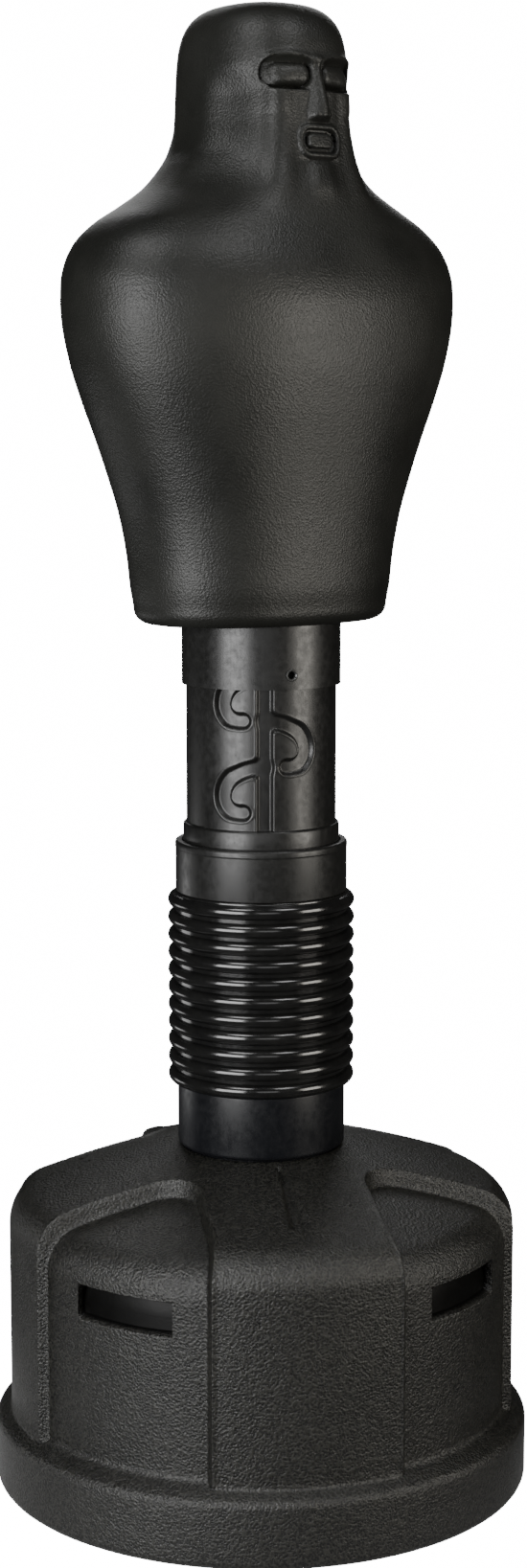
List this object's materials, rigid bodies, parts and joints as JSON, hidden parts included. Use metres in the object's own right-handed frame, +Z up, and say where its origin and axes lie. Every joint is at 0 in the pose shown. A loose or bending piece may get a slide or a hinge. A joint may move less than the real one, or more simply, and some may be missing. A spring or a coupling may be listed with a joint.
{
  "type": "body opponent mannequin",
  "caption": "Free-standing striking dummy: foam torso with head on a height-adjustable pole, spring neck in a ribbed bellows, and a round fillable base tank.",
  "frame": {"origin": "middle of the base tank's underside, on the floor", "axes": "+Z up along the pole, -Y the way the face looks, +X towards the mannequin's left hand side"},
  "size_m": [0.61, 0.6098, 1.65],
  "materials": {
    "tank_plastic": "satin",
    "cap_plastic": "satin",
    "seal_rubber": "matte",
    "insert_brass": "satin",
    "sleeve_plastic": "satin",
    "mount_steel": "satin",
    "fastener_steel": "satin",
    "bellows_rubber": "gloss",
    "spring_steel": "satin",
    "pole_plastic": "satin",
    "glide_plastic": "satin",
    "foam": "matte",
    "torso_vinyl": "satin"
  },
  "bodies": {
    "base": {"base_tank": "tank_plastic", "well_inserts": "insert_brass", "neck_sleeve": "sleeve_plastic", "lower_spring_mount": "mount_steel", "lower_mount_washers": "fastener_steel", "lower_mount_bolts": "fastener_steel"},
    "cap_lift": {"fill_cap_seal": "seal_rubber"},
    "cap": {"fill_cap": "cap_plastic"},
    "neck": {"flex_bellows": "bellows_rubber", "flex_spring": "spring_steel"},
    "pole": {"upper_spring_mount": "mount_steel", "upper_cuff": "pole_plastic", "adjuster_tube": "pole_plastic", "upper_mount_washers": "fastener_steel", "upper_mount_bolts": "fastener_steel", "upper_mount_nuts": "fastener_steel", "tube_top_plug": "cap_plastic"},
    "glide": {"glide_ring": "glide_plastic"},
    "torso": {"mandrel": "pole_plastic", "mandrel_cap": "cap_plastic", "lock_pegs": "fastener_steel", "torso_foam": "foam", "torso_skin": "torso_vinyl"}
  },
  "joints": [
    {"name": "cap_rise", "type": "slide", "parent": "base", "child": "cap_lift", "axis": [0, 0, 1], "range_m": [0, 0.025]},
    {"name": "cap_turn", "type": "hinge", "parent": "cap_lift", "child": "cap", "pos_m": [0.08456, 0.16454, 0.4], "axis": [0, 0, 1], "range_deg": [0, 1080]},
    {"name": "flex_fore_aft", "type": "hinge", "parent": "base", "child": "neck", "pos_m": [0, 0, 0.515], "axis": [1, 0, 0], "range_deg": [-15, 15], "stiffness_Nm_per_rad": 500, "deforming": ["flex_bellows", "flex_spring"]},
    {"name": "flex_side", "type": "hinge", "parent": "neck", "child": "pole", "pos_m": [0, 0, 0.625], "axis": [0, 1, 0], "range_deg": [-15, 15], "stiffness_Nm_per_rad": 500, "deforming": ["flex_bellows", "flex_spring"]},
    {"name": "torso_height", "type": "slide", "parent": "pole", "child": "glide", "axis": [0, 0, 1], "range_m": [-0.1524, 0.1524]},
    {"name": "torso_turn", "type": "hinge", "parent": "glide", "child": "torso", "pos_m": [0, 0, 0.95], "axis": [0, 0, 1], "range_deg": [-54, 13]}
  ],
  "couplings": [
    {"joint": "cap_rise", "follows": "cap_turn", "m_per_rad": 0.0012732}
  ]
}
